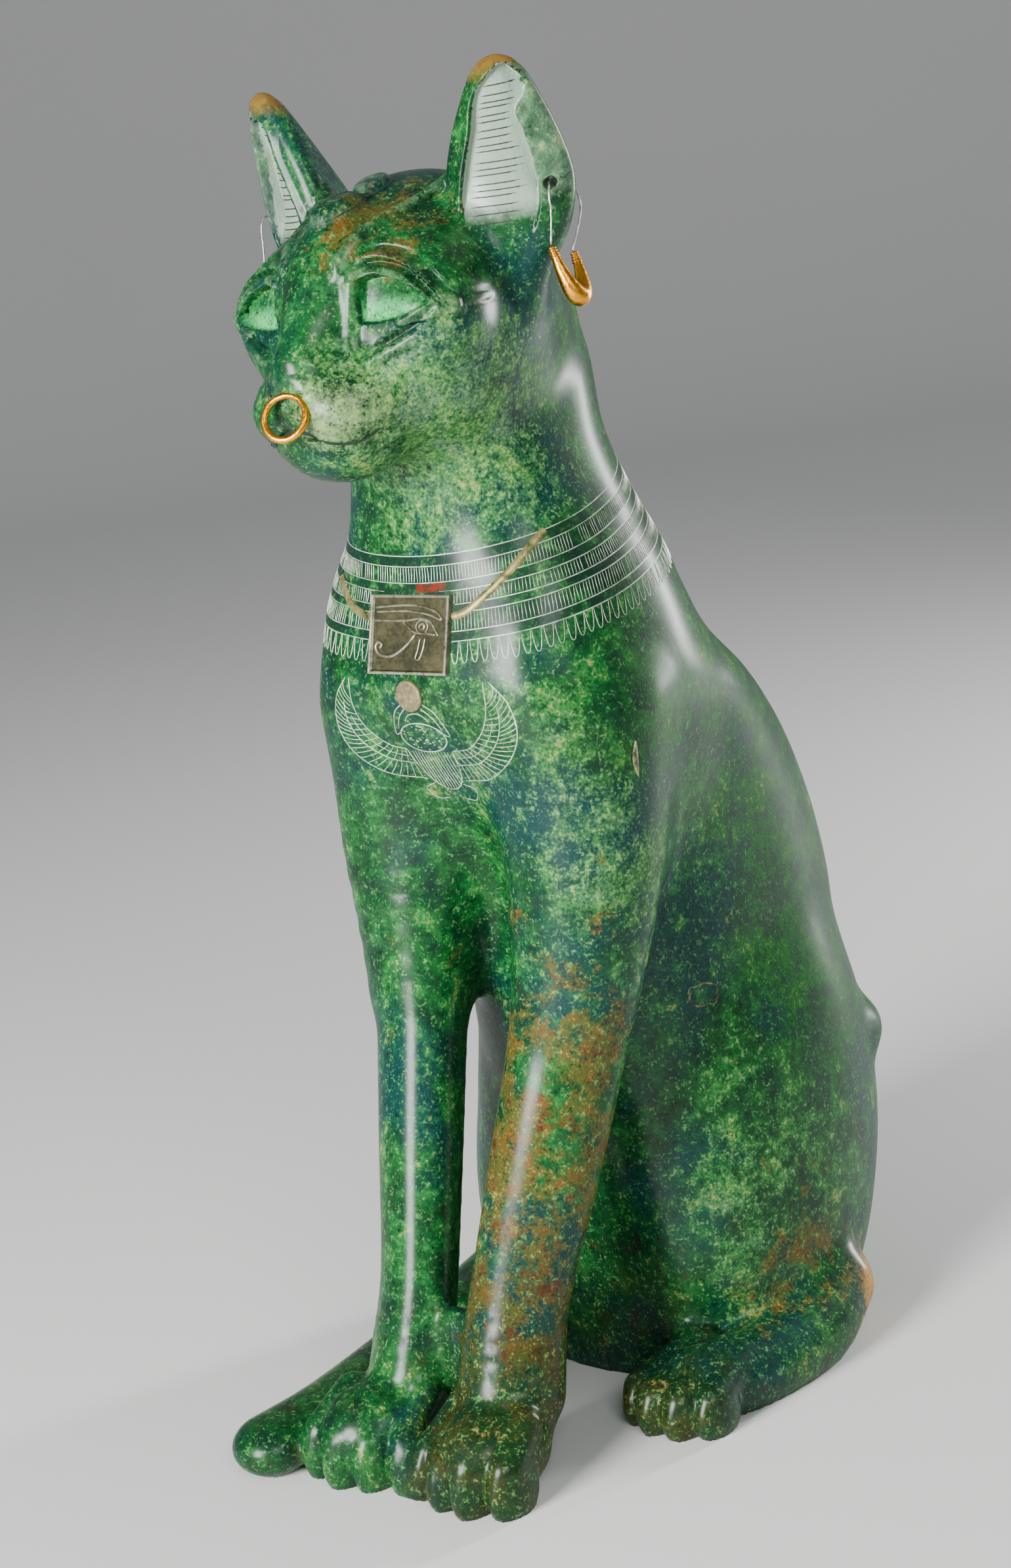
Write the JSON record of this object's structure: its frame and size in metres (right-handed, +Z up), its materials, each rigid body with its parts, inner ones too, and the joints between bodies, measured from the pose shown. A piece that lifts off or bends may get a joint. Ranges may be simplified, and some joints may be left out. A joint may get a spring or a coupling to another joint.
{
  "type": "seated cat statuette",
  "caption": "Seated bronze cat statuette with a gold nose ring and earrings, a silver plaque and a small disc on its chest.",
  "frame": {"origin": "on the underside, on the cat's midline, below the shoulders", "axes": "+Z up from the underside to the ears; the cat faces -Y; +X is the cat's left side"},
  "size_m": [0.1533, 0.2439, 0.4168],
  "materials": {
    "bronze": "satin green and brown patina",
    "gold": "polished",
    "silver": "tarnished satin",
    "silver_wire": "worn polish",
    "pale_metal": "worn satin"
  },
  "bodies": {
    "root": {"cat_figure": "bronze", "nose_ring": "gold", "left_earring": "gold", "right_earring": "gold", "left_earring_wire": "silver_wire", "right_earring_wire": "silver_wire", "wedjat_plaque": "silver", "sun_disc": "pale_metal"}
  },
  "joints": []
}
